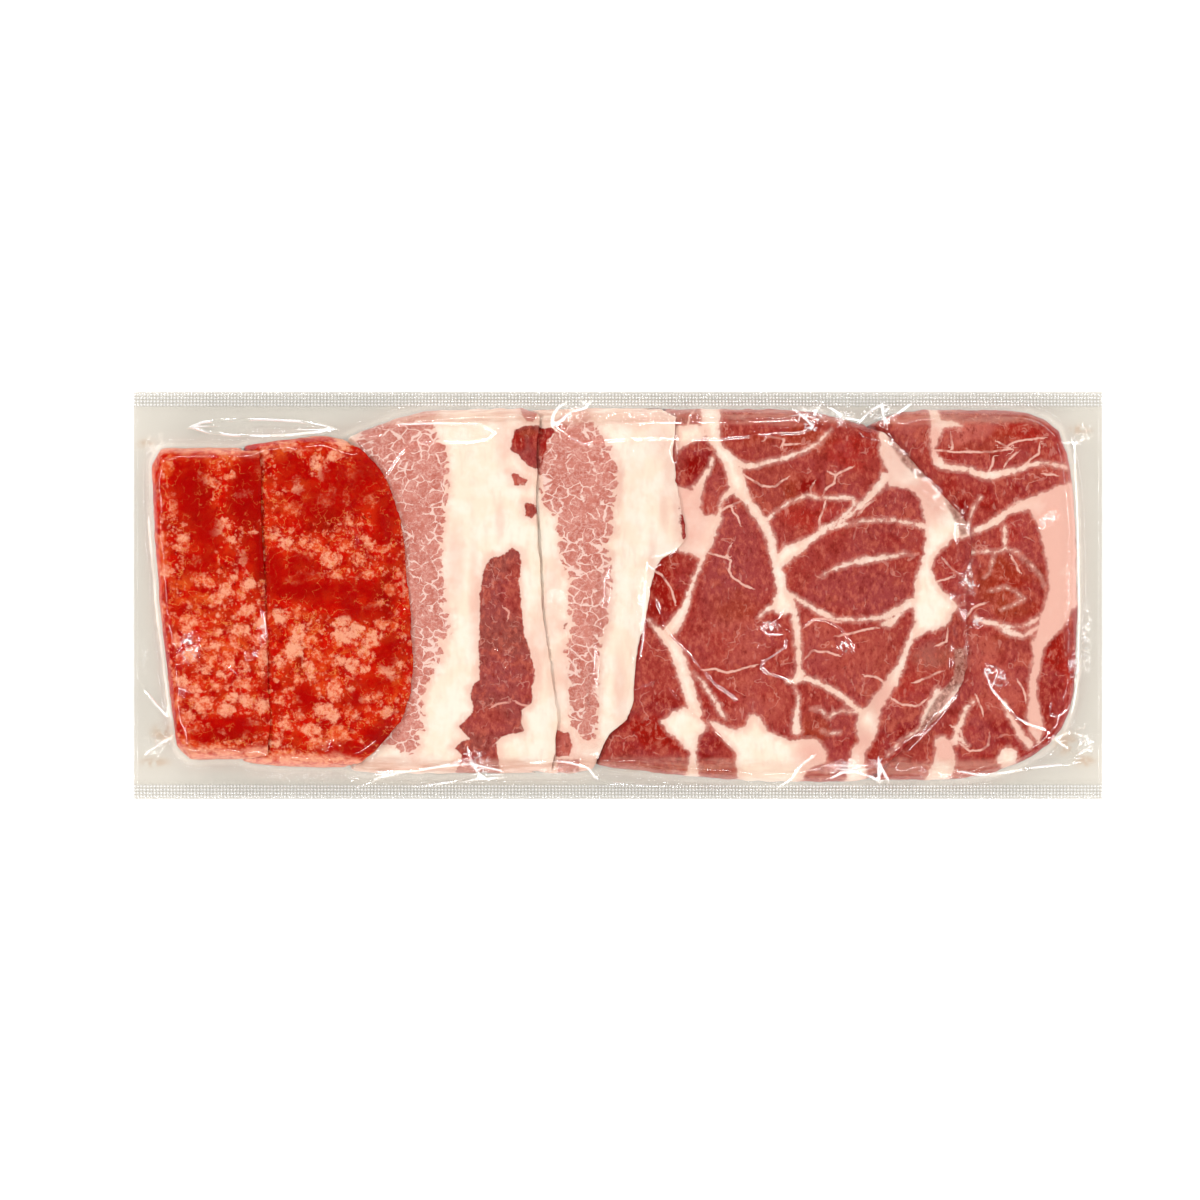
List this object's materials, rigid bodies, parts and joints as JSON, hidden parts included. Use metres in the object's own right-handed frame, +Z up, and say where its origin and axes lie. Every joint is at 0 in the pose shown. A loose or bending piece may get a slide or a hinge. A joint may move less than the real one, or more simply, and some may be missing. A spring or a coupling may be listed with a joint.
{
  "type": "vacuum pack of sliced barbecue pork",
  "caption": "Flat clear vacuum pack of raw pork slices for the barbecue, laid overlapping in one row: spiced minced slices, streaky belly slices and marbled collar slices.",
  "frame": {"origin": "centre of the pack's underside, on the surface it lies on", "axes": "+X along the pack's length towards the collar slices, +Y across its width, +Z up, away from the flat base web"},
  "size_m": [0.29, 0.122, 0.0201],
  "materials": {
    "clear_film": "clear glossy film, slightly creased",
    "spiced_meat": "moist red spiced mince with pale chunks of fat",
    "belly_meat": "moist raw belly, cream fat with bands of pink marbled muscle",
    "collar_meat": "moist raw collar, dark pink muscle with cream seams of fat"
  },
  "bodies": {
    "root": {"film_base_web": "clear_film", "film_cover_web": "clear_film", "spiced_slice_left": "spiced_meat", "spiced_slice_right": "spiced_meat", "belly_slice_left": "belly_meat", "belly_slice_right": "belly_meat", "collar_slice_left": "collar_meat", "collar_slice_right": "collar_meat"}
  },
  "joints": []
}
